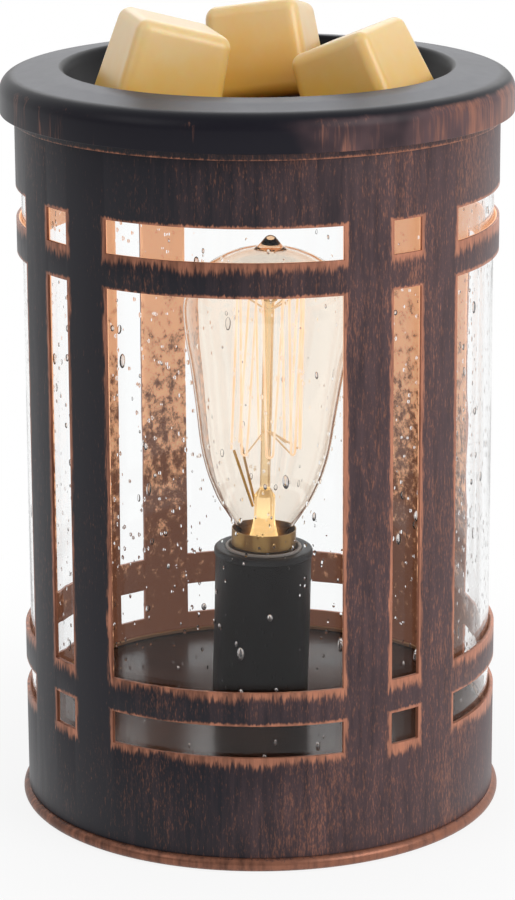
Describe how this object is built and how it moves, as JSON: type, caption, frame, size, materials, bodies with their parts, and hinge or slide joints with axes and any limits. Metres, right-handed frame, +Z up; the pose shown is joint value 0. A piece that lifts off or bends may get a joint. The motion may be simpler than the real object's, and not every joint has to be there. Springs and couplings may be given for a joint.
{
  "type": "candle warmer lamp",
  "caption": "Lantern-style wax warmer: a bulb in a glass cylinder inside a windowed metal shell heats a lift-off dish of wax melts on top.",
  "frame": {"origin": "on the table, under the lamp's axis, at the level of the foot pads", "axes": "+Z up along the lamp's axis; -Y out of the front wide window; the cord entry faces +Y"},
  "size_m": [0.1292, 0.1292, 0.2073],
  "materials": {
    "dish_finish": "satin charcoal paint on top, copper rubbed through on the skirt",
    "shell_finish": "dark bronze paint rubbed through to copper at the edges",
    "ring_finish": "dark bronze paint with copper rub marks",
    "seeded_glass": "clear glass with small drawn-out bubbles",
    "pan_finish": "dark brown gloss paint",
    "foot_finish": "dark bronze paint rubbed to copper on the rolled bead",
    "steel": "bright zinc plate",
    "rubber_black": "matt black",
    "phenolic_black": "black moulded, slightly glossy",
    "sleeve_pale": "pale grey unglazed",
    "brass": "aged brass",
    "copper_thread": "plain copper alloy",
    "wire_cover": "black insulation",
    "block_plastic": "natural white moulded",
    "bulb_clear": "clear glass with a faint amber tint",
    "stem_glass": "clear glass, warm tint",
    "cap_insulator": "black fused glass",
    "solder": "dull solder",
    "filament_metal": "dark carbonised wire",
    "support_metal": "fine nickel wire",
    "wax_amber": "amber paraffin wax, slightly translucent"
  },
  "bodies": {
    "lamp_body": {"body_shell": "shell_finish", "top_ring": "ring_finish", "glass_cylinder": "seeded_glass", "floor_pan": "pan_finish", "base_pan": "foot_finish", "pillars": "steel", "base_screws": "steel", "foot_pads": "rubber_black", "cord_grommet": "rubber_black", "nipple": "steel", "lock_washer": "steel", "nipple_nuts": "steel", "lead_wires": "wire_cover", "terminal_block": "block_plastic", "terminal_sleeves": "brass", "terminal_screws": "steel", "block_screw": "steel", "socket_housing": "phenolic_black", "socket_sleeve": "sleeve_pale", "socket_shell": "copper_thread", "socket_disc": "phenolic_black", "contact_leaf": "brass", "contact_rivet": "brass", "socket_terminals": "brass"},
    "dish": {"wax_dish": "dish_finish"},
    "melt_1": {"wax_melt_1": "wax_amber"},
    "melt_2": {"wax_melt_2": "wax_amber"},
    "melt_3": {"wax_melt_3": "wax_amber"},
    "melt_4": {"wax_melt_4": "wax_amber"},
    "bulb_centre": {"bulb_contact": "solder"},
    "bulb": {"bulb_cap": "brass", "bulb_insulator": "cap_insulator", "bulb_glass": "bulb_clear", "bulb_stem": "stem_glass", "bulb_filament": "filament_metal", "bulb_supports": "support_metal", "bulb_leads": "support_metal"}
  },
  "joints": [
    {"name": "dish_lift", "type": "slide", "parent": "lamp_body", "child": "dish", "axis": [0, 0, 1], "range_m": [0, 0.06]},
    {"name": "melt_1_lift", "type": "slide", "parent": "dish", "child": "melt_1", "axis": [0, 0, 1], "range_m": [0, 0.04]},
    {"name": "melt_2_lift", "type": "slide", "parent": "dish", "child": "melt_2", "axis": [0, 0, 1], "range_m": [0, 0.04]},
    {"name": "melt_3_lift", "type": "slide", "parent": "dish", "child": "melt_3", "axis": [0, 0, 1], "range_m": [0, 0.04]},
    {"name": "melt_4_lift", "type": "slide", "parent": "dish", "child": "melt_4", "axis": [0, 0, 1], "range_m": [0, 0.04]},
    {"name": "bulb_rise", "type": "slide", "parent": "lamp_body", "child": "bulb_centre", "axis": [0.0259, 0.004, 0.9997], "range_m": [0, 0.0113]},
    {"name": "bulb_unscrew", "type": "hinge", "parent": "bulb_centre", "child": "bulb", "pos_m": [0, 0, 0.025], "axis": [0.0259, 0.004, 0.9997], "range_deg": [0, 1440]}
  ],
  "couplings": [
    {"joint": "bulb_rise", "follows": "bulb_unscrew", "m_per_rad": 0.00044914}
  ]
}
